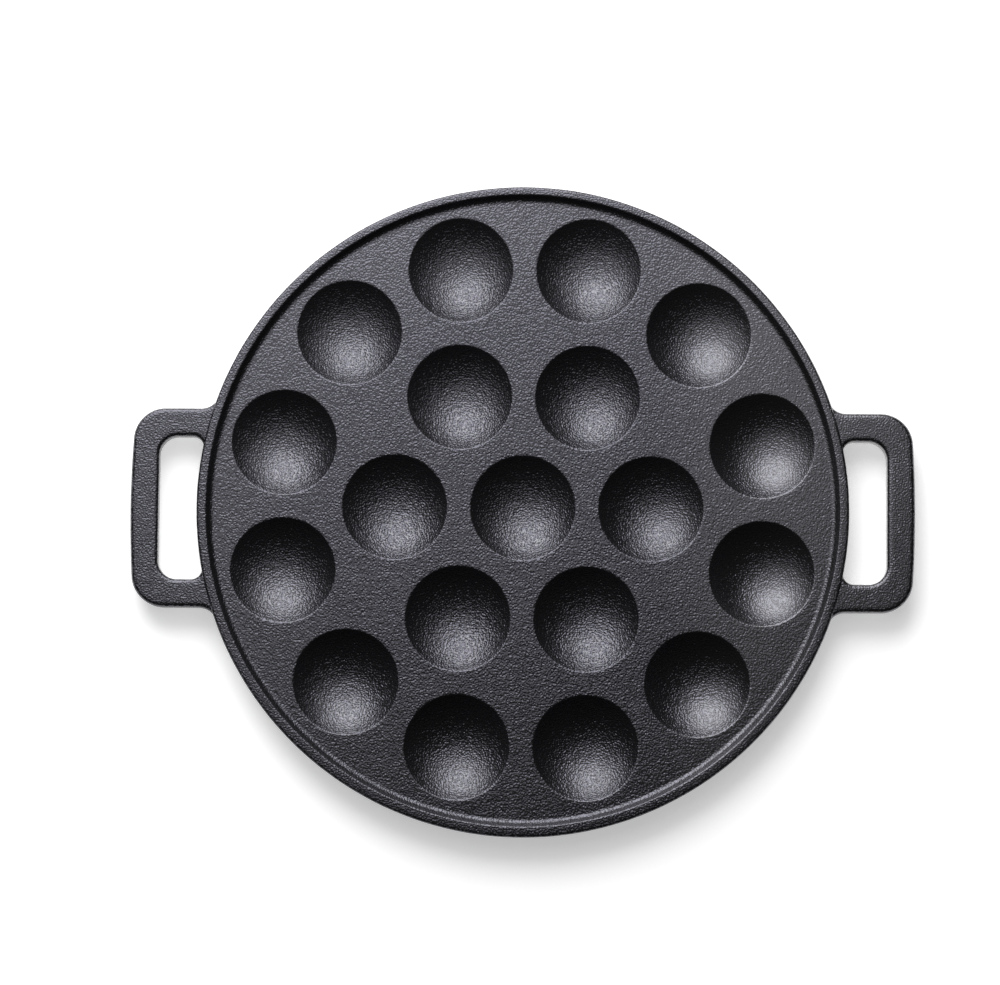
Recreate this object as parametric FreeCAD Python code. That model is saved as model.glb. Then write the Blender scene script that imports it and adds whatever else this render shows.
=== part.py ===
import FreeCAD, Part
import math
import os
from FreeCAD import Vector

# A cast iron pan for round balls of batter: a disc with nineteen shallow cups,
# a low rim round it, and two loop handles.
# The real pan is one casting. It is modelled here as the regions that a foundry
# drawing would name: the cooking plate, the rim with its skirt, the cups and the
# handles. They meet face to face, with no seam, gap or overlap.
# Units are millimetres and degrees. The origin is under the middle of the pan, on
# the surface that it stands on. X runs from handle to handle, Z points up.

# Cups
cup_mouth_radius = 21.0
cup_depth = 8.5
cup_wall = 3.2
cup_lip_fillet = 1.2
dome_fillet = 2.5
cup_land = 0.4
cup_web = 6.1
dome_clearance = 0.3
inner_ring_count = 6

# Plate and rim
plate_thickness = 4.0
web_to_rim = 1.8
rim_rise = 3.0
rim_wall_angle = 67.0
rim_foot_land = 0.4
rim_foot_fillet = 2.0
rim_inner_edge_fillet = 0.6
rim_top_width = 3.5
rim_outer_edge_fillet = 1.2

# Skirt under the rim, which the pan stands on
skirt_outer_draft = 1.0
skirt_inner_draft = 5.0
skirt_fillet = 2.0
skirt_foot_fillet = 0.6

# As cast, the cups and the inside of the rim sit a little behind the outer wall
cup_field_shift = 1.0
rim_inside_shift = 0.5

# Handles
handle_reach = 26.4
handle_length = 80.0
handle_bar_width = 11.4
handle_arm_width = 11.4
handle_thickness = 9.0
handle_drop = 0.7
handle_bow_radius = 450.0
handle_corner_radius = 10.5
handle_slot_corner_radius = 6.0
handle_blend_radius = 5.0
handle_slot_blend_radius = 4.0
handle_blend_bite = 0.4
handle_edge_fillet = 1.8

# Heights, from the surface that the pan stands on
plate_top = dome_clearance + cup_wall + cup_depth
plate_underside = plate_top - plate_thickness
rim_top = plate_top + rim_rise
handle_top = rim_top - handle_drop
handle_underside = handle_top - handle_thickness

# The cup is a cap of a sphere, and its wall is a cap of a larger sphere about the
# same centre, so the metal has one thickness all over
cup_sphere_radius = (cup_mouth_radius ** 2 + cup_depth ** 2) / (2 * cup_depth)
dome_sphere_radius = cup_sphere_radius + cup_wall
sphere_height = plate_top + cup_sphere_radius - cup_depth


def level_reach(distance, drop):
    """Radius at which a point `distance` from the sphere centre lies `drop` below it."""
    return math.sqrt(distance ** 2 - drop ** 2)


# Where the rounded lip runs out into the plate, and the dome into its underside
lip_radius = level_reach(
    cup_sphere_radius + cup_lip_fillet,
    sphere_height - plate_top + cup_lip_fillet,
)
dome_root_radius = level_reach(
    dome_sphere_radius + dome_fillet,
    sphere_height - plate_underside + dome_fillet,
)
cup_block_radius = max(lip_radius, dome_root_radius) + cup_land

# The cups stand one pitch apart: one in the middle, a ring round it, and an outer
# ring of twice as many, turned by half a step
cup_pitch = 2 * cup_block_radius + cup_web
outer_ring_count = 2 * inner_ring_count
inner_ring_radius = cup_pitch / (2 * math.sin(math.pi / inner_ring_count))
outer_ring_radius = cup_pitch / (2 * math.sin(math.pi / outer_ring_count))
outer_ring_turn = 180.0 / outer_ring_count

# The rim in section: foot, inner wall, flat top and drafted outer wall
rim_slope = math.radians(rim_wall_angle)
cup_offset_in_rim = abs(cup_field_shift - rim_inside_shift)
plate_radius = outer_ring_radius + cup_block_radius + cup_offset_in_rim + web_to_rim
rim_foot_radius = (
    plate_radius + rim_foot_land + rim_foot_fillet * math.tan(rim_slope / 2)
)
rim_top_inner_radius = rim_foot_radius + rim_rise / math.tan(rim_slope)
pan_radius = rim_top_inner_radius + rim_top_width
skirt_foot_radius = pan_radius - rim_top * math.tan(math.radians(skirt_outer_draft))
skirt_root_radius = plate_radius + rim_foot_land + skirt_fillet
skirt_inner_radius = skirt_root_radius + plate_underside * math.tan(
    math.radians(skirt_inner_draft)
)


def flat_point(x, y):
    """A point of a drawing in plan."""
    return Vector(x, y, 0)


def section_point(radius, height):
    """A point of a drawing that is turned about the Z axis."""
    return Vector(radius, 0, height)


def arc(start, centre, end, radius):
    """The shorter arc from start to end round centre."""
    half_way = (start + end) * 0.5 - centre
    middle = centre + half_way.normalize() * radius
    return Part.Arc(start, middle, end).toShape()


def line(start, end):
    return Part.LineSegment(start, end).toShape()


def rounded_outline(corners):
    """A closed outline of straight sides, from (point, corner radius) pairs."""
    ends = []
    count = len(corners)
    for index in range(count):
        corner, radius = corners[index]
        to_last = (corners[index - 1][0] - corner).normalize()
        to_next = (corners[(index + 1) % count][0] - corner).normalize()
        half_angle = to_last.getAngle(to_next) / 2
        setback = radius / math.tan(half_angle)
        middle_line = (to_last + to_next).normalize()
        centre = corner + middle_line * (radius / math.sin(half_angle))
        ends.append((corner + to_last * setback, corner + to_next * setback, centre, radius))
    edges = []
    for index in range(count):
        arrive, leave, centre, radius = ends[index]
        if radius > 0:
            edges.append(arc(arrive, centre, leave, radius))
        edges.append(line(leave, ends[(index + 1) % count][0]))
    return Part.Wire(edges)


def revolved(wire):
    face = Part.Face(wire)
    return face.revolve(Vector(0, 0, 0), Vector(0, 0, 1), 360)


def cup_block():
    """One cup with its lip, its wall and a narrow ring of the plate."""
    centre = section_point(0, sphere_height)
    lip_centre = section_point(lip_radius, plate_top - cup_lip_fillet)
    root_centre = section_point(dome_root_radius, plate_underside - dome_fillet)

    cup_bottom = section_point(0, sphere_height - cup_sphere_radius)
    dome_bottom = section_point(0, sphere_height - dome_sphere_radius)
    cup_edge = centre + (lip_centre - centre).normalize() * cup_sphere_radius
    dome_edge = centre + (root_centre - centre).normalize() * dome_sphere_radius
    lip_end = section_point(lip_radius, plate_top)
    root_end = section_point(dome_root_radius, plate_underside)
    block_top = section_point(cup_block_radius, plate_top)
    block_underside = section_point(cup_block_radius, plate_underside)

    return revolved(Part.Wire([
        arc(cup_bottom, centre, cup_edge, cup_sphere_radius),
        arc(cup_edge, lip_centre, lip_end, cup_lip_fillet),
        line(lip_end, block_top),
        line(block_top, block_underside),
        line(block_underside, root_end),
        arc(root_end, root_centre, dome_edge, dome_fillet),
        arc(dome_edge, centre, dome_bottom, dome_sphere_radius),
        line(dome_bottom, cup_bottom),
    ]))


def ring_places(count, radius, turn):
    """Centres of a ring of cups, from the +X side and counter-clockwise."""
    places = []
    for index in range(count):
        angle = math.radians(turn + 360.0 * index / count)
        arm = flat_point(radius * math.cos(angle), radius * math.sin(angle))
        places.append(arm + flat_point(0, cup_field_shift))
    return places


def cup_places():
    places = {"cup_middle": flat_point(0, cup_field_shift)}
    inner_ring = ring_places(inner_ring_count, inner_ring_radius, 0)
    outer_ring = ring_places(outer_ring_count, outer_ring_radius, outer_ring_turn)
    for number, place in enumerate(inner_ring, start=1):
        places["cup_inner_%d" % number] = place
    for number, place in enumerate(outer_ring, start=1):
        places["cup_outer_%02d" % number] = place
    return places


def cooking_plate():
    """The flat land between the cups, out to the foot of the rim."""
    middle = Vector(0, rim_inside_shift, plate_underside)
    plate = Part.makeCylinder(plate_radius, plate_thickness, middle)
    holes = []
    for place in cup_places().values():
        start = place + Vector(0, 0, plate_underside)
        holes.append(Part.makeCylinder(cup_block_radius, plate_thickness, start))
    return plate.cut(Part.makeCompound(holes))


def pan_envelope():
    """All the space inside the pan's outer wall."""
    return revolved(rounded_outline([
        (section_point(0, 0), 0),
        (section_point(0, rim_top), 0),
        (section_point(pan_radius, rim_top), rim_outer_edge_fillet),
        (section_point(skirt_foot_radius, 0), skirt_foot_fillet),
    ]))


def inside_of_rim():
    """The space over the plate, the plate itself and the space under it.

    It is carried on past the top and the foot, so that it cuts them cleanly.
    """
    overrun = rim_rise
    top_reach = rim_top_inner_radius + overrun / math.tan(rim_slope)
    foot_reach = skirt_inner_radius + overrun * math.tan(math.radians(skirt_inner_draft))
    space = revolved(rounded_outline([
        (section_point(0, -overrun), 0),
        (section_point(foot_reach, -overrun), 0),
        (section_point(skirt_root_radius, plate_underside), skirt_fillet),
        (section_point(plate_radius, plate_underside), 0),
        (section_point(plate_radius, plate_top), 0),
        (section_point(rim_foot_radius, plate_top), rim_foot_fillet),
        (section_point(top_reach, rim_top + overrun), 0),
        (section_point(0, rim_top + overrun), 0),
    ]))
    return space.translated(Vector(0, rim_inside_shift, 0))


def with_rounded_circle(solid, radius, height, fillet):
    """Rounds the circular edge that has this radius and height."""
    found = []
    for edge in solid.Edges:
        if not isinstance(edge.Curve, Part.Circle):
            continue
        level = edge.Curve.Center.z
        if abs(edge.Curve.Radius - radius) < 0.001 and abs(level - height) < 0.001:
            found.append(edge)
    return solid.makeFillet(fillet, found)


def rim_and_skirt():
    """The low wall round the plate and the skirt under it."""
    ring = pan_envelope().cut(inside_of_rim()).Solids[0]
    ring = with_rounded_circle(ring, rim_top_inner_radius, rim_top, rim_inner_edge_fillet)
    return with_rounded_circle(ring, skirt_inner_radius, 0, skirt_foot_fillet)


def wall_blend(side_y, blend_y, radius):
    """Centre, start and end of the blend from the pan's wall to a side of the handle.

    It runs a little way into the wall, so it meets the wall at an open angle.
    """
    buried_radius = pan_radius - handle_blend_bite
    centre = flat_point(level_reach(buried_radius + radius, blend_y), blend_y)
    start = centre * (buried_radius / (buried_radius + radius))
    end = flat_point(centre.x, side_y)
    return centre, start, end


def mirrored_outline(half_edges):
    """A closed outline from the edges of its half at positive Y."""
    other_half = []
    for edge in half_edges:
        other_half.append(edge.mirror(Vector(0, 0, 0), Vector(0, 1, 0)))
    return Part.Wire(Part.__sortEdges__(half_edges + other_half))


def handle_outline():
    """The outside of one handle in plan, carried on into the pan's wall."""
    side_y = handle_length / 2
    blend_y = side_y + handle_blend_radius
    blend_centre, wall_point, arm_start = wall_blend(side_y, blend_y, handle_blend_radius)
    root_x = wall_point.x - handle_arm_width

    bow_middle = flat_point(pan_radius + handle_reach, 0)
    bow_centre = bow_middle - flat_point(handle_bow_radius, 0)
    corner_y = side_y - handle_corner_radius
    corner_reach = level_reach(handle_bow_radius - handle_corner_radius, corner_y)
    corner_centre = flat_point(bow_centre.x + corner_reach, corner_y)
    arm_end = flat_point(corner_centre.x, side_y)
    to_corner = (corner_centre - bow_centre).normalize()
    bow_end = bow_centre + to_corner * handle_bow_radius
    return mirrored_outline([
        line(flat_point(root_x, 0), flat_point(root_x, wall_point.y)),
        line(flat_point(root_x, wall_point.y), wall_point),
        arc(wall_point, blend_centre, arm_start, handle_blend_radius),
        line(arm_start, arm_end),
        arc(arm_end, corner_centre, bow_end, handle_corner_radius),
        arc(bow_end, bow_centre, bow_middle, handle_bow_radius),
    ])


def slot_outline():
    """The finger slot in plan, whose inner side is left to the pan's wall."""
    side_y = handle_length / 2 - handle_arm_width
    blend_y = side_y - handle_slot_blend_radius
    blend_centre, wall_point, side_start = wall_blend(
        side_y, blend_y, handle_slot_blend_radius)
    root_x = wall_point.x - handle_arm_width / 2

    bar_x = pan_radius + handle_reach - handle_bar_width
    corner_y = side_y - handle_slot_corner_radius
    corner_centre = flat_point(bar_x - handle_slot_corner_radius, corner_y)
    side_end = flat_point(corner_centre.x, side_y)
    bar_end = flat_point(bar_x, corner_y)
    return mirrored_outline([
        line(flat_point(root_x, 0), flat_point(root_x, wall_point.y)),
        line(flat_point(root_x, wall_point.y), wall_point),
        arc(wall_point, blend_centre, side_start, handle_slot_blend_radius),
        line(side_start, side_end),
        arc(side_end, corner_centre, bar_end, handle_slot_corner_radius),
        line(bar_end, flat_point(bar_x, 0)),
    ])


def right_handle():
    """A loop with rounded edges, cut back to the pan's outer wall."""
    plan = Part.Face(handle_outline()).cut(Part.Face(slot_outline()))
    loop = plan.extrude(Vector(0, 0, handle_thickness))
    loop.translate(Vector(0, 0, handle_underside))
    level_edges = []
    for edge in loop.Edges:
        if edge.BoundBox.ZLength < 0.001:
            level_edges.append(edge)
    loop = loop.Solids[0].makeFillet(handle_edge_fillet, level_edges)
    return loop.cut(pan_envelope())


def left_handle():
    return right_handle().rotated(Vector(0, 0, 0), Vector(0, 0, 1), 180)


def save(name, shape):
    solids = shape.Solids
    if len(solids) != 1 or not shape.isValid():
        raise ValueError("%s is not one valid solid" % name)
    solids[0].exportStep("parts/%s.step" % name)
    print("%-16s %10.1f mm3" % (name, solids[0].Volume))


os.makedirs("parts", exist_ok=True)
save("cooking_plate", cooking_plate())
save("rim_and_skirt", rim_and_skirt())
save("right_handle", right_handle())
save("left_handle", left_handle())
for cup_name, cup_place in cup_places().items():
    save(cup_name, cup_block().translated(cup_place))
print("pan radius %.2f, height %.2f, over the handles %.2f" % (
    pan_radius, rim_top, 2 * (pan_radius + handle_reach)))
print("cup pitch %.2f, rings %.2f and %.2f, plate radius %.2f" % (
    cup_pitch, inner_ring_radius, outer_ring_radius, plate_radius))
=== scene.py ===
# %% [markdown]
# A cast iron pan for round cakes of batter, seen almost from straight above.
# The solids in the frame carry the sizes. This file makes the surface that the
# eye sees: one casting with rounded lips, a fine cast grain and the soft sheen
# of seasoned iron. The text before each cell explains the step. All lengths are
# in metres, and small ones are written as a number times MM.

# %% Load the fixed frame
import math

import bmesh
import bpy
from mathutils import Matrix, Vector, geometry, noise


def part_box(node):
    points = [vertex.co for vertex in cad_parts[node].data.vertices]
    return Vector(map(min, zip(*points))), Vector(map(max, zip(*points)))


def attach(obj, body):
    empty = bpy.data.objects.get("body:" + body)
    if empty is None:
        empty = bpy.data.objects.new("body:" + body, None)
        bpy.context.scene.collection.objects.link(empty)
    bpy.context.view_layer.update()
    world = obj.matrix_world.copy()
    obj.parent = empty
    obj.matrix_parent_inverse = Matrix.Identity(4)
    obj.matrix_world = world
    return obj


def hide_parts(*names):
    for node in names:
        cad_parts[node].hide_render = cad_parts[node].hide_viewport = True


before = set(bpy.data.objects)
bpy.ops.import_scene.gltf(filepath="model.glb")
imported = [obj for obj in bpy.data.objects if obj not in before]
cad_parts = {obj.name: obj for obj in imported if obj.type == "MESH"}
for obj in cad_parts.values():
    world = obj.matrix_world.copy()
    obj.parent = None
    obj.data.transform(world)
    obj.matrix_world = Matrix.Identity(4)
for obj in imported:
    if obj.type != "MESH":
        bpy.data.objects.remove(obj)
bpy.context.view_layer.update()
MM = 0.001
BODY = "root"
print("solids:", len(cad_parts))

# %% [markdown]
# The pan's main sizes are read from the boxes of the solids, so a change of the
# solids carries over. Only the small roundings are written here, because a box
# doesn't tell them.

# %% Read the pan's sizes from the frame
rim_low, rim_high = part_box("rim_and_skirt")
plate_low, plate_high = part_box("cooking_plate")
handle_low, handle_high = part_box("right_handle")
cup_names = sorted(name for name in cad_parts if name.startswith("cup_"))

pan_radius = (rim_high.x - rim_low.x) / 2
rim_top = rim_high.z
plate_radius = (plate_high.x - plate_low.x) / 2
plate_centre = ((plate_low + plate_high) / 2).xy
plate_top = plate_high.z
plate_underside = plate_low.z

cup_boxes = [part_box(name) for name in cup_names]
cup_centres = [((low + high) / 2).xy for low, high in cup_boxes]
cup_block_radius = (cup_boxes[0][1].x - cup_boxes[0][0].x) / 2
dome_bottom = cup_boxes[0][0].z

cup_mouth_radius = 21.0 * MM
cup_wall = 3.2 * MM
cup_lip_fillet = 1.2 * MM
dome_fillet = 2.5 * MM
cup_depth = plate_top - dome_bottom - cup_wall
print("pan radius %.1f mm, cup depth %.1f mm" % (pan_radius / MM, cup_depth / MM))

# %% [markdown]
# A casting is mostly turned forms, so its surface is described by sections. A
# section is a list of (radius, height) points. Straight runs need only their
# ends, and each rounding is an arc. A bevel modifier could round the corners
# too, but it measures a width and not a radius, so the arcs are worked out here.

# %% Arcs and rounded paths
ARC_STEPS = 6


def arc_points(centre, start, end, steps):
    """Points from start to end on the shorter arc round centre."""
    centre, start, end = Vector(centre), Vector(start), Vector(end)
    first = math.atan2(*(start - centre).yx)
    turn = math.atan2(*(end - centre).yx) - first
    turn = (turn + math.pi) % (2 * math.pi) - math.pi
    radius = (start - centre).length
    points = []
    for step in range(steps + 1):
        angle = first + turn * step / steps
        points.append(centre + radius * Vector((math.cos(angle), math.sin(angle))))
    return points


def rounded_path(corners, steps):
    """An open path through (point, corner radius) pairs, with arcs at the corners."""
    path = [Vector(corners[0][0])]
    for index in range(1, len(corners) - 1):
        corner, radius = Vector(corners[index][0]), corners[index][1]
        back = (Vector(corners[index - 1][0]) - corner).normalized()
        ahead = (Vector(corners[index + 1][0]) - corner).normalized()
        half_angle = back.angle(ahead) / 2
        setback = radius / math.tan(half_angle)
        centre = corner + (back + ahead).normalized() * (radius / math.sin(half_angle))
        path += arc_points(centre, corner + back * setback, corner + ahead * setback, steps)
    path.append(Vector(corners[-1][0]))
    return path


print("steps on an arc:", ARC_STEPS)

# %% [markdown]
# The cup is a cap of a sphere. A small rounding joins it to the plate, and its
# place follows from two facts: it touches the plate's surface, and it touches
# the sphere. The dome under the cup is a larger cap about the same centre.

# %% The sections of a cup and of its dome
CUP_STEPS, LIP_STEPS = 18, 6
DOME_STEPS, DOME_FILLET_STEPS = 12, 4

sphere_radius = (cup_mouth_radius ** 2 + cup_depth ** 2) / (2 * cup_depth)
sphere_centre = Vector((0, plate_top + sphere_radius - cup_depth))


def cap_section(radius, level, fillet, steps_on_cap, steps_on_fillet):
    """From the axis over a cap of the sphere and its fillet to the block's edge."""
    drop = sphere_centre.y - level + fillet
    fillet_centre = Vector((math.sqrt((radius + fillet) ** 2 - drop ** 2), level - fillet))
    touch = sphere_centre + (fillet_centre - sphere_centre).normalized() * radius
    bottom = sphere_centre - Vector((0, radius))
    end = Vector((fillet_centre.x, level))
    points = arc_points(sphere_centre, bottom, touch, steps_on_cap)
    points += arc_points(fillet_centre, touch, end, steps_on_fillet)[1:]
    points.append(Vector((cup_block_radius, level)))
    return points


cup_section = cap_section(
    sphere_radius, plate_top, cup_lip_fillet, CUP_STEPS, LIP_STEPS)
dome_section = cap_section(
    sphere_radius + cup_wall, plate_underside, dome_fillet, DOME_STEPS, DOME_FILLET_STEPS)
print("points in a cup section:", len(cup_section))

# %% [markdown]
# The rim's section runs from the plate over the rim and down the outer wall to
# the foot that the pan stands on, then up inside the skirt. As cast, the inside
# of the rim sits half a millimetre behind the outer wall, which makes the rim
# look narrower at the back. So the path is cut in three, and the outer part is
# turned about the pan's own centre. The rounding at the foot of the rim starts
# a little inside the plate's edge, so the flat land stops short of that edge.

# %% The section of the rim and skirt
rim_slope = math.radians(61.5)
rim_foot_fillet = 2.4 * MM
rim_inner_edge_fillet = 1.0 * MM
rim_foot_inset = 0.5 * MM
skirt_root_land = 0.4 * MM
land_inset = 0.9 * MM
rim_outer_edge_fillet = 1.2 * MM
skirt_outer_draft = math.radians(1.0)
skirt_inner_draft = math.radians(5.0)
skirt_fillet = 2.0 * MM
skirt_foot_fillet = 0.6 * MM

land_radius = plate_radius - land_inset
rim_foot_radius = plate_radius - rim_foot_inset + rim_foot_fillet * math.tan(rim_slope / 2)
rim_inner_radius = rim_foot_radius + (rim_top - plate_top) / math.tan(rim_slope)
skirt_foot_radius = pan_radius - rim_top * math.tan(skirt_outer_draft)
skirt_root_radius = plate_radius + skirt_root_land + skirt_fillet
skirt_inner_radius = skirt_root_radius + plate_underside * math.tan(skirt_inner_draft)

rim_path = rounded_path([
    ((land_radius, plate_top), 0),
    ((rim_foot_radius, plate_top), rim_foot_fillet),
    ((rim_inner_radius, rim_top), rim_inner_edge_fillet),
    ((pan_radius, rim_top), rim_outer_edge_fillet),
    ((skirt_foot_radius, 0), skirt_foot_fillet),
    ((skirt_inner_radius, 0), skirt_foot_fillet),
    ((skirt_root_radius, plate_underside), skirt_fillet),
    ((land_radius, plate_underside), 0),
], ARC_STEPS)

# A rounded corner holds one point more than it has steps. Two corners come
# before the outer part, after the path's first point, and the part holds two.
corner_points = ARC_STEPS + 1
outer_start = 1 + 2 * corner_points
outer_end = outer_start + 2 * corner_points
pan_centre = Vector((0, 0))
rim_section = [(point, plate_centre) for point in rim_path[:outer_start]]
rim_section += [(point, pan_centre) for point in rim_path[outer_start:outer_end]]
rim_section += [(point, plate_centre) for point in rim_path[outer_end:]]
print("points in the rim's section:", len(rim_section))

# %% [markdown]
# Two kinds of surface make the body: turned strips, and flat land between
# circles. A small collector gathers their points and faces. Neighbours share
# the same circles of points, so one weld at the end closes the surface. The land
# is cut into triangles on an even grid, so that it can be gently uneven later.

# %% Collect turned strips and flat land
CUP_SEGMENTS = 96
RIM_SEGMENTS = 480
LAND_SPACING = 2.4 * MM
LAND_MARGIN = 0.35 * LAND_SPACING
WELD_DISTANCE = 0.002 * MM
TRIANGLE_TOLERANCE = 1e-9


class Surface:
    """Points and faces that are welded into one closed mesh at the end."""

    def __init__(self):
        self.points = []
        self.faces = []

    def add(self, points, faces, flip):
        start = len(self.points)
        self.points += points
        for face in faces:
            face = [start + index for index in face]
            self.faces.append(face[::-1] if flip else face)

    def turned(self, section, segments, flip=False):
        """A section turned about vertical axes, from (point, centre in plan) pairs."""
        points = []
        faces = []
        for row, ((radius, height), centre) in enumerate(section):
            for point in circle(centre, radius, segments):
                points.append((point.x, point.y, height))
            if row == 0:
                continue
            for column in range(segments):
                following = (column + 1) % segments
                low, high = (row - 1) * segments, row * segments
                faces.append([low + column, low + following, high + following, high + column])
        self.add(points, faces, flip)

    def land(self, height, flip=False):
        """The flat of the plate between the cups and the foot of the rim."""
        outlines = [circle(centre, cup_block_radius, CUP_SEGMENTS) for centre in cup_centres]
        outlines.append(circle(plate_centre, land_radius, RIM_SEGMENTS))
        flat = []
        edges = []
        for outline in outlines:
            start = len(flat)
            flat += outline
            for index in range(len(outline)):
                edges.append((start + index, start + (index + 1) % len(outline)))
        flat += land_points()
        done = geometry.delaunay_2d_cdt(flat, edges, [], 0, TRIANGLE_TOLERANCE)
        corners, triangles = done[0], done[2]
        kept = []
        for triangle in triangles:
            middle = sum((corners[index] for index in triangle), Vector((0, 0))) / 3
            if is_land(middle, 0):
                kept.append(list(triangle))
        self.add([(point.x, point.y, height) for point in corners], kept, flip)

    def mesh(self, name):
        """The collected faces as one welded, smooth mesh."""
        mesh = bpy.data.meshes.new(name)
        mesh.from_pydata([tuple(point) for point in self.points], [], self.faces)
        work = bmesh.new()
        work.from_mesh(mesh)
        bmesh.ops.remove_doubles(work, verts=work.verts, dist=WELD_DISTANCE)
        loose = [vertex for vertex in work.verts if not vertex.link_faces]
        bmesh.ops.delete(work, geom=loose, context="VERTS")
        bmesh.ops.recalc_face_normals(work, faces=work.faces)
        open_edges = [edge for edge in work.edges if not edge.is_manifold]
        print(name, "faces:", len(work.faces), "open edges:", len(open_edges))
        work.to_mesh(mesh)
        work.free()
        mesh.shade_smooth()
        return mesh


def circle(centre, radius, segments):
    points = []
    for index in range(segments):
        angle = 2 * math.pi * index / segments
        points.append(centre + radius * Vector((math.cos(angle), math.sin(angle))))
    return points


def is_land(point, margin):
    """True if a point lies on the flat, at least margin from the circles round it."""
    if (point - plate_centre).length > land_radius - margin:
        return False
    return all((point - centre).length > cup_block_radius + margin for centre in cup_centres)


def land_points():
    """An even grid of points on the flat, in staggered rows."""
    row_height = LAND_SPACING * math.sqrt(3) / 2
    rows = int(land_radius / row_height) + 1
    points = []
    for row in range(-rows, rows + 1):
        for column in range(-rows, rows + 1):
            x = (column + 0.5 * (row % 2)) * LAND_SPACING
            point = Vector((x, row * row_height))
            if is_land(point, LAND_MARGIN):
                points.append(point)
    return points


print("grid points on the land:", len(land_points()))

# %% [markdown]
# Sand is never quite flat, so a casting has a faint swell that bends the
# highlights. It is put in the mesh itself, always inwards, so the pan never
# grows past its solids. A texture could do the same, but a swell this wide
# should also show in the outline of the rim. Two waves are enough, each given
# by its width and its height. The seed shifts the waves for each piece.

# %% A faint swell in the surface
SWELLS = ((11.0 * MM, 0.10 * MM), (4.0 * MM, 0.035 * MM))
BODY_SEED = 7.3
HANDLE_SEED = 3.1


def add_swell(mesh, seed):
    """Moves each point inwards by a little smooth noise of two widths."""
    offset = Vector((seed, 2.0 * seed, 3.0 * seed))
    normals = [vertex.normal.copy() for vertex in mesh.vertices]
    for vertex, normal in zip(mesh.vertices, normals):
        depth = 0
        for width, height in SWELLS:
            wave = noise.noise(vertex.co / width + offset)
            depth += height * (1 + wave) / 2
        vertex.co -= normal * depth
        vertex.co.z = max(vertex.co.z, 0)


print("deepest swell: %.3f mm" % (sum(height for width, height in SWELLS) / MM))

# %% [markdown]
# The body of the pan is now put together: cups and land on top, the rim and
# skirt round it, and the domes and their land underneath.

# %% Make the body of the pan
def make_pan_body():
    surface = Surface()
    for centre in cup_centres:
        surface.turned([(point, centre) for point in cup_section], CUP_SEGMENTS)
        surface.turned([(point, centre) for point in dome_section], CUP_SEGMENTS, flip=True)
    surface.turned(rim_section, RIM_SEGMENTS)
    surface.land(plate_top)
    surface.land(plate_underside, flip=True)
    mesh = surface.mesh("pan_body")
    add_swell(mesh, BODY_SEED)
    body = bpy.data.objects.new("pan_body", mesh)
    bpy.context.scene.collection.objects.link(body)
    return body


pan_body = make_pan_body()
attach(pan_body, BODY)
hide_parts("cooking_plate", "rim_and_skirt", *cup_names)

# %% [markdown]
# A handle is a flat bar bent into a loop. Its two sides are drawn as a pair of
# lines in plan: the outer one runs round the grip's corner to the pan's wall,
# and the inner one runs round the finger slot. Both hold the same number of
# points, so a section of the bar can be set between each pair. The grip's outer
# side is bowed by about a millimetre, which a straight line would lose. Both
# lines end a bite inside the wall, and a last pair sits deeper, at the root.

# %% The two sides of a handle
handle_side = 40.0 * MM
handle_arm_width = 11.4 * MM
handle_bar_width = 11.4 * MM
handle_corner_radius = 13.0 * MM
handle_slot_corner_radius = 7.5 * MM
handle_blend_radius = 7.5 * MM
handle_slot_blend_radius = 4.5 * MM
handle_bow_radius = 450.0 * MM
handle_edge_fillet = 1.8 * MM
handle_bite = 0.4 * MM
handle_root_depth = 2.6 * MM
handle_root_radius = pan_radius - handle_root_depth
handle_end = handle_high.x
handle_middle = (handle_low.z + handle_high.z) / 2
GRIP_STEPS, CORNER_STEPS, ARM_STEPS, BLEND_STEPS = 30, 16, 12, 12


def line_points(start, end, steps):
    return [Vector(start).lerp(Vector(end), step / steps) for step in range(steps + 1)]


def wall_blend(side_y, radius, outward):
    """The arc that joins a side of an arm to the pan's wall, from side to wall."""
    buried = pan_radius - handle_bite
    centre_y = side_y + outward * radius
    centre = Vector((math.sqrt((buried + radius) ** 2 - centre_y ** 2), centre_y))
    wall = centre * (buried / (buried + radius))
    return arc_points(centre, (centre.x, side_y), wall, BLEND_STEPS)


def outer_side():
    """From the middle of the grip round the corner and along the arm to the wall."""
    bow_centre = Vector((handle_end - handle_bow_radius, 0))
    corner_y = handle_side - handle_corner_radius
    reach = math.sqrt((handle_bow_radius - handle_corner_radius) ** 2 - corner_y ** 2)
    corner = Vector((bow_centre.x + reach, corner_y))
    bow_end = bow_centre + (corner - bow_centre).normalized() * handle_bow_radius
    corner_top = Vector((corner.x, handle_side))
    blend = wall_blend(handle_side, handle_blend_radius, 1)
    points = arc_points(bow_centre, (handle_end, 0), bow_end, GRIP_STEPS)
    points += arc_points(corner, bow_end, corner_top, CORNER_STEPS)[1:]
    points += line_points(corner_top, blend[0], ARM_STEPS)[1:]
    return points + blend[1:]


def inner_side():
    """The same run along the finger slot."""
    bar_x = handle_end - handle_bar_width
    slot_side = handle_side - handle_arm_width
    corner = Vector((bar_x, slot_side)) - Vector((1, 1)) * handle_slot_corner_radius
    corner_start = Vector((bar_x, corner.y))
    corner_end = Vector((corner.x, slot_side))
    blend = wall_blend(slot_side, handle_slot_blend_radius, -1)
    points = line_points((bar_x, 0), corner_start, GRIP_STEPS)
    points += arc_points(corner, corner_start, corner_end, CORNER_STEPS)[1:]
    points += line_points(corner_end, blend[0], ARM_STEPS)[1:]
    return points + blend[1:]


print("points along a side:", len(outer_side()), len(inner_side()))

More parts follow.
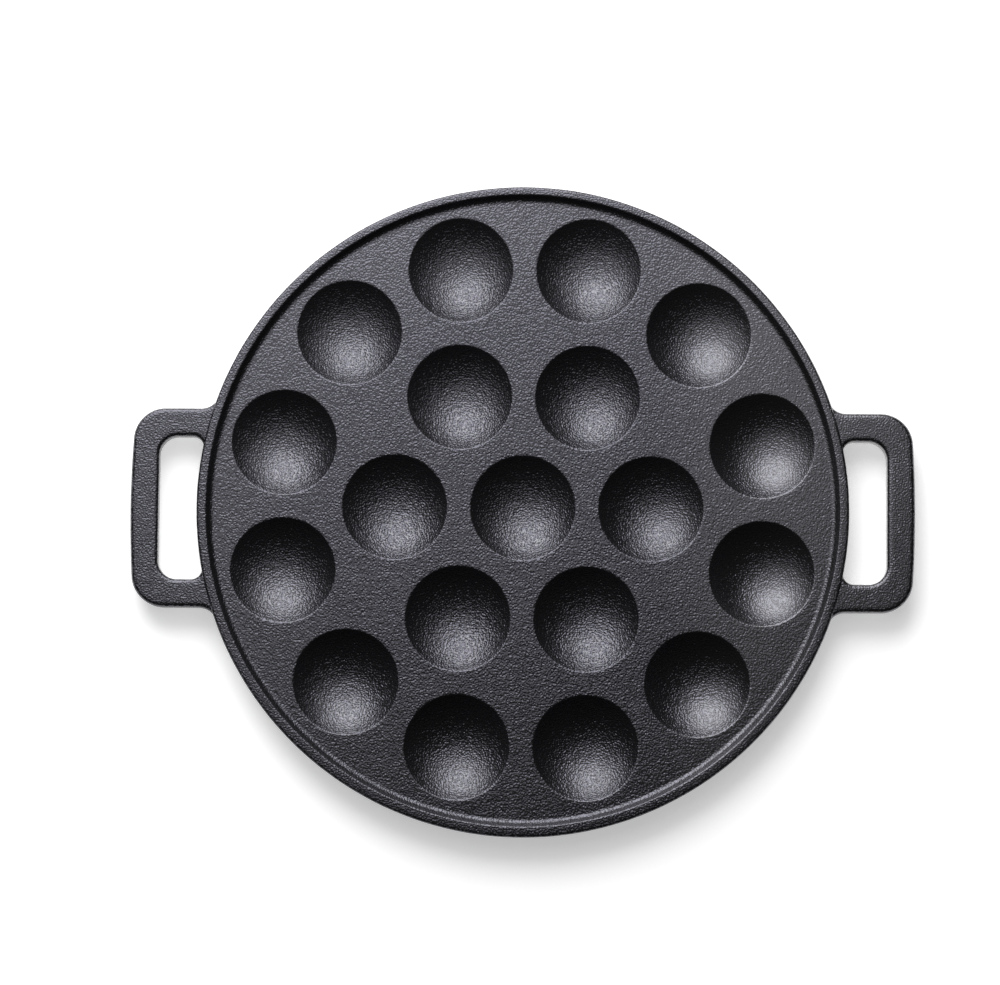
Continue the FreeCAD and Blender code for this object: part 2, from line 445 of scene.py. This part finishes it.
# %% [markdown]
# Each section of the bar is a rectangle with round corners. The corners are
# drawn in from each side along that side's own normal, so the rounding keeps
# its size where the bar widens into the pan's wall. Half a handle is worked out
# and mirrored, and the left handle is the right one turned by half a turn.

# %% Make the handles
EDGE_STEPS, FACE_STEPS = 6, 6


def with_normals(points, metal_on_left):
    """Pairs of each point and the direction from it into the metal."""
    pairs = []
    for index, point in enumerate(points):
        before = points[max(index - 1, 0)]
        after = points[min(index + 1, len(points) - 1)]
        along = (after - before).normalized()
        normal = Vector((-along.y, along.x))
        pairs.append((point, normal if metal_on_left else -normal))
    return pairs


def edge_levels():
    """(distance in from the side, height) from the bar's mid height to its top."""
    levels = [(0, handle_middle)]
    for step in range(EDGE_STEPS + 1):
        angle = math.pi / 2 * step / EDGE_STEPS
        levels.append((
            handle_edge_fillet * (1 - math.cos(angle)),
            handle_high.z - handle_edge_fillet * (1 - math.sin(angle)),
        ))
    return levels


def bar_section(outer, inner):
    """A ring of points round the bar between a point of each side."""
    upper = [(*(outer[0] + outer[1] * depth), height) for depth, height in edge_levels()]
    far = [(*(inner[0] + inner[1] * depth), height) for depth, height in edge_levels()]
    top_face = line_points(Vector(upper[-1]), Vector(far[-1]), FACE_STEPS)
    upper += [tuple(point) for point in top_face[1:-1]]
    upper += far[::-1]
    lower = [(x, y, 2 * handle_middle - z) for x, y, z in upper[-2:0:-1]]
    return upper + lower


def handle_sections():
    """The sections of a right handle from its front root to its back root."""
    outer = with_normals(outer_side(), True)
    inner = with_normals(inner_side(), False)
    no_turn = Vector((0, 0))
    outer.append((outer[-1][0].normalized() * handle_root_radius, no_turn))
    inner.append((inner[-1][0].normalized() * handle_root_radius, no_turn))
    half = [bar_section(*pair) for pair in zip(outer, inner)]
    other = [[(x, -y, z) for x, y, z in section] for section in half[:0:-1]]
    return other + half


def make_handle(name, side):
    sections = handle_sections()
    count = len(sections[0])
    faces = []
    for row in range(1, len(sections)):
        for column in range(count):
            following = (column + 1) % count
            low, high = (row - 1) * count, row * count
            faces.append([low + column, low + following, high + following, high + column])
    faces.append(list(range(count)))
    faces.append([index + (len(sections) - 1) * count for index in range(count)])
    surface = Surface()
    surface.add([point for section in sections for point in section], faces, False)
    mesh = surface.mesh(name)
    mesh.transform(Matrix.Rotation(0 if side > 0 else math.pi, 4, "Z"))
    add_swell(mesh, HANDLE_SEED + side)
    handle = bpy.data.objects.new(name, mesh)
    bpy.context.scene.collection.objects.link(handle)
    return handle


right_loop = make_handle("right_handle_loop", 1)
left_loop = make_handle("left_handle_loop", -1)
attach(right_loop, BODY)
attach(left_loop, BODY)
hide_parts("right_handle")
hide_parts("left_handle")

# %% [markdown]
# Shader maths reads best as Python. A Signal wraps one output socket, and the
# operators on it add Math nodes. Every other node comes from one method, which
# sets the node's own settings first and its sockets after. The same finish
# could be built by hand in the shader editor, one node for each call.

# %% Write shader maths as expressions
SHADER_NODE = "Principled BSDF"


class Signal:
    """A number that changes over a surface, as an output socket."""

    def __init__(self, finish, socket):
        self.finish = finish
        self.socket = socket

    def _maths(self, operation, first, second):
        node = self.finish.node("ShaderNodeMath", {"operation": operation}, [first, second])
        return Signal(self.finish, node.outputs[0])

    def __add__(self, other):
        return self._maths("ADD", self, other)

    def __radd__(self, other):
        return self._maths("ADD", other, self)

    def __sub__(self, other):
        return self._maths("SUBTRACT", self, other)

    def __rsub__(self, other):
        return self._maths("SUBTRACT", other, self)

    def __mul__(self, other):
        return self._maths("MULTIPLY", self, other)

    def __rmul__(self, other):
        return self._maths("MULTIPLY", other, self)


class Finish:
    """A material whose nodes are added in reading order."""

    def __init__(self, name):
        self.material = bpy.data.materials.new(name)
        self.material.use_nodes = True
        self.tree = self.material.node_tree
        self.shader = self.tree.nodes[SHADER_NODE]

    def node(self, kind, settings, inputs):
        """Adds a node. Inputs are a list by place or a dictionary by name."""
        node = self.tree.nodes.new(kind)
        for name, value in settings.items():
            setattr(node, name, value)
        pairs = inputs.items() if isinstance(inputs, dict) else enumerate(inputs)
        for key, value in pairs:
            self.feed(node.inputs[key], value)
        return node

    def feed(self, socket, value):
        """Links a signal or a socket, and writes anything else as the default."""
        if isinstance(value, Signal):
            value = value.socket
        if isinstance(value, bpy.types.NodeSocket):
            self.tree.links.new(value, socket)
        else:
            socket.default_value = value

    def noise(self, place, width, detail=0.0, roughness=0.5):
        """Smooth noise from 0 to 1 whose patches are about width across."""
        node = self.node(
            "ShaderNodeTexNoise", {"noise_dimensions": "3D"},
            {"Vector": place, "Scale": 1 / width, "Detail": detail, "Roughness": roughness})
        return Signal(self, node.outputs["Fac"])

    def step(self, value, low, high):
        """A soft step from 0 where value is low to 1 where it is high."""
        node = self.node(
            "ShaderNodeMapRange", {"interpolation_type": "SMOOTHSTEP"},
            {"Value": value, "From Min": low, "From Max": high})
        return Signal(self, node.outputs["Result"])


print("shader maths is ready on top of:", SHADER_NODE)

# %% [markdown]
# Seasoned iron is almost black, with a baked film of oil that gives a broad,
# slightly blue sheen. Under the film lies the print of the moulding sand, small
# rounded grains under a millimetre across. They are bump, because they are far
# too many for the mesh. Three soft steps place what changes over the pan: one
# follows the depth below the plate, one runs to the right, and one runs out from
# the middle. The grain is a little taller in the cups, and lower on the right.

# %% Emboss the cast grain
GRAIN_WIDTH = 0.68 * MM
GRAIN_HEIGHT = 0.265 * MM
GRAIN_GAIN_IN_CUPS = 0.32
GRAIN_LOSS_ON_RIGHT = 0.12
CUP_STEP = (0.2 * MM, 2.5 * MM)
RIGHT_STEP = (45.0 * MM, 90.0 * MM)
OUTER_STEP = (75.0 * MM, 115.0 * MM)


def add_soft_steps(finish, place):
    """How far a point lies in a cup, to the right, and in the outer ring."""
    position = finish.node("ShaderNodeSeparateXYZ", {}, {"Vector": place})
    depth = plate_top - Signal(finish, position.outputs["Z"])
    outward = finish.node("ShaderNodeVectorMath", {"operation": "LENGTH"}, [place])
    in_cup = finish.step(depth, *CUP_STEP)
    on_right = finish.step(position.outputs["X"], *RIGHT_STEP)
    in_outer_ring = finish.step(outward.outputs["Value"], *OUTER_STEP)
    return in_cup, on_right, in_outer_ring


def emboss_grain(finish, grain, in_cup, on_right):
    """Feeds the grain to the shader's normal through one Bump node."""
    gain = 1.0 + in_cup * GRAIN_GAIN_IN_CUPS - on_right * GRAIN_LOSS_ON_RIGHT
    height = (grain - 0.5) * gain * GRAIN_HEIGHT
    bump = finish.node(
        "ShaderNodeBump", {}, {"Height": height, "Distance": 1.0, "Strength": 1.0})
    finish.feed(finish.shader.inputs["Normal"], bump.outputs["Normal"])


print("grain: %.2f mm wide, %.3f mm high" % (GRAIN_WIDTH / MM, GRAIN_HEIGHT / MM))

# %% [markdown]
# The film of oil is the shader's clear coat. On the right and in the outer ring
# part of it lies evenly. The rest stands as beads on the tops of the grains, with
# more of them in the cups. The iron below is duller or brighter in patches, and a
# little smoother on the right. What is the same all over is set on the shader's
# own socket, and what changes is fed to it as a signal.

# %% Mix the finish of the cast iron
IRON_COLOUR = (0.006, 0.006, 0.0065, 1.0)
IRON_SHEEN = (0.945, 0.935, 1.125, 1.0)
IRON_INDEX = 1.59
IRON_ROUGHNESS = 0.17
PATCH_ROUGHNESS = 0.08
PATCH_WIDTH = 9.0 * MM
PATCH_DETAIL, PATCH_DETAIL_SHARE = 3.0, 0.6
SMOOTHER_ON_RIGHT = 0.05
FILM_ROUGHNESS = 0.31
FILM_ON_RIGHT = 0.50
FILM_IN_OUTER_RING = 0.20
GRAIN_TOP = (0.50, 0.64)
BEADS_ON_PLATE = 0.45
MORE_BEADS_IN_CUPS = 0.55


def spread_film(finish, grain, in_cup, on_right, in_outer_ring):
    """Feeds the coat with an even film, and with beads of oil on what it leaves."""
    even_film = on_right * FILM_ON_RIGHT + in_outer_ring * FILM_IN_OUTER_RING
    grain_tops = finish.step(grain, *GRAIN_TOP)
    beads = grain_tops * (in_cup * MORE_BEADS_IN_CUPS + BEADS_ON_PLATE)
    finish.feed(finish.shader.inputs["Coat Weight"], even_film + beads * (1 - even_film))
    finish.shader.inputs["Coat Roughness"].default_value = FILM_ROUGHNESS


def make_seasoned_iron():
    finish = Finish("seasoned_iron")
    shader = finish.shader
    shader.inputs["Base Color"].default_value = IRON_COLOUR
    shader.inputs["Specular Tint"].default_value = IRON_SHEEN
    shader.inputs["IOR"].default_value = IRON_INDEX
    place = finish.node("ShaderNodeTexCoord", {}, {}).outputs["Object"]
    grain = finish.noise(place, GRAIN_WIDTH)
    patches = finish.noise(place, PATCH_WIDTH, PATCH_DETAIL, PATCH_DETAIL_SHARE)
    in_cup, on_right, in_outer_ring = add_soft_steps(finish, place)
    emboss_grain(finish, grain, in_cup, on_right)
    spread_film(finish, grain, in_cup, on_right, in_outer_ring)
    roughness = IRON_ROUGHNESS + patches * PATCH_ROUGHNESS - on_right * SMOOTHER_ON_RIGHT
    finish.feed(shader.inputs["Roughness"], roughness)
    return finish.material


seasoned_iron = make_seasoned_iron()
for piece in (pan_body, right_loop, left_loop):
    piece.data.materials.append(seasoned_iron)
print("nodes in the iron:", len(seasoned_iron.node_tree.nodes))

# %% [markdown]
# The floor is plain and pale. The camera sees it with a glow of its own, so it
# looks white, and so do rays that bounce off metal. A brighter lamp would whiten
# the floor too, but would bleach the iron. Near the pan the glow is weak, so the
# lamps' shadow shows there. It grows with distance, where the lamps fall off.

# %% Lay the floor
FLOOR_COLOUR = (0.90, 0.90, 0.90, 1.0)
GLOW_NEAR_PAN = 0.47
GLOW_STEP = (145.0 * MM, 300.0 * MM)
FLOOR_HALF = 40.0


def make_floor_finish():
    finish = Finish("pale_floor")
    shader = finish.shader
    shader.inputs["Base Color"].default_value = FLOOR_COLOUR
    shader.inputs["Roughness"].default_value = 1.0
    shader.inputs["Specular IOR Level"].default_value = 0.0
    shader.inputs["Emission Strength"].default_value = 1.0
    path = finish.node("ShaderNodeLightPath", {}, {})
    seen = Signal(finish, path.outputs["Is Camera Ray"])
    for ray in ("Is Glossy Ray", "Is Transmission Ray"):
        seen = seen + Signal(finish, path.outputs[ray])
    place = finish.node("ShaderNodeTexCoord", {}, {}).outputs["Object"]
    outward = finish.node("ShaderNodeVectorMath", {"operation": "LENGTH"}, [place])
    far = finish.step(outward.outputs["Value"], *GLOW_STEP)
    glow = GLOW_NEAR_PAN + (1 - GLOW_NEAR_PAN) * far
    finish.feed(shader.inputs["Emission Color"], seen * glow)
    return finish.material


def make_floor():
    corners = [(-1, -1), (1, -1), (1, 1), (-1, 1)]
    points = [(x * FLOOR_HALF, y * FLOOR_HALF, 0) for x, y in corners]
    mesh = bpy.data.meshes.new("floor")
    mesh.from_pydata(points, [], [(0, 1, 2, 3)])
    mesh.materials.append(make_floor_finish())
    floor = bpy.data.objects.new("floor", mesh)
    bpy.context.scene.collection.objects.link(floor)
    return floor


make_floor()
print("floor: %.0f m across" % (2 * FLOOR_HALF))

# %% [markdown]
# The light comes from behind the pan and a little from the left, as the shadows
# show, and halfway down the sky. A bright round lamp gives the highlight in
# every cup. A weaker panel, close above the pan, makes the soft slope round that
# highlight. The room adds very little, so the sides of the cups that are nearest
# the lamps stay dark. Each lamp has its tilt from straight up and its turn about
# the pan in degrees, and its distance and radius in metres. A disk of radiance L
# gives off pi times L from each square metre, which sets its power.

# %% Light the pan
BRIGHT_LAMP = {"tilt": 48.8, "turn": 104.2, "distance": 0.829, "radius": 0.408, "radiance": 4.95}
CLOSE_PANEL = {"tilt": 38.9, "turn": 106.4, "distance": 0.300, "radius": 0.340, "radiance": 1.12}
ROOM_LIGHT = 0.018
WHITE = (1.0, 1.0, 1.0, 1.0)


def make_lamp(name, target, tilt, turn, distance, radius, radiance):
    """A round lamp that faces target. Its power follows from its radiance."""
    data = bpy.data.lights.new(name, "AREA")
    data.shape = "DISK"
    data.size = 2 * radius
    area = math.pi * radius ** 2
    data.energy = math.pi * radiance * area
    lamp = bpy.data.objects.new(name, data)
    tilt, turn = math.radians(tilt), math.radians(turn)
    away = Vector((
        math.sin(tilt) * math.cos(turn),
        math.sin(tilt) * math.sin(turn),
        math.cos(tilt)))
    lamp.location = target + away * distance
    lamp.rotation_euler = away.to_track_quat("Z", "Y").to_euler()
    bpy.context.scene.collection.objects.link(lamp)
    print(name, "power %.2f W" % data.energy)


def make_room_light():
    world = bpy.data.worlds.new("room")
    world.use_nodes = True
    background = world.node_tree.nodes["Background"]
    background.inputs["Color"].default_value = WHITE
    background.inputs["Strength"].default_value = ROOM_LIGHT
    bpy.context.scene.world = world


middle_cup = cup_centres[cup_names.index("cup_middle")]
pan_middle = Vector((middle_cup.x, middle_cup.y, plate_top))
make_lamp("bright_lamp", pan_middle, **BRIGHT_LAMP)
make_lamp("close_panel", pan_middle, **CLOSE_PANEL)
make_room_light()
bpy.context.scene.view_settings.view_transform = "Standard"

# %% [markdown]
# The photograph is taken from almost straight above with a long lens. The
# camera leans a few degrees to the front, which shows in the front edges of the
# handles, and it is turned by half a degree. The lens follows from the width
# that is seen at the pan, and the shifts place the pan in the frame.

# %% Set up the camera
CAMERA_DISTANCE = 1.6
CAMERA_TILT = math.radians(4.9)
CAMERA_ROLL = math.radians(0.48)
SEEN_WIDTH = 0.400
SENSOR_WIDTH_IN_MM = 36.0
SHIFT_RIGHT = -0.0229
SHIFT_UP = 0.0155


def make_camera():
    data = bpy.data.cameras.new("camera")
    data.sensor_width = SENSOR_WIDTH_IN_MM
    data.lens = SENSOR_WIDTH_IN_MM * CAMERA_DISTANCE / SEEN_WIDTH
    data.shift_x = SHIFT_RIGHT
    data.shift_y = SHIFT_UP
    camera = bpy.data.objects.new("camera", data)
    lean = Matrix.Rotation(CAMERA_TILT, 4, "X")
    away = lean @ Vector((0, 0, CAMERA_DISTANCE))
    turn = lean @ Matrix.Rotation(CAMERA_ROLL, 4, "Z")
    camera.matrix_world = Matrix.Translation(pan_middle + away) @ turn
    bpy.context.scene.collection.objects.link(camera)
    bpy.context.scene.camera = camera
    print("lens: %.0f mm" % data.lens)


make_camera()
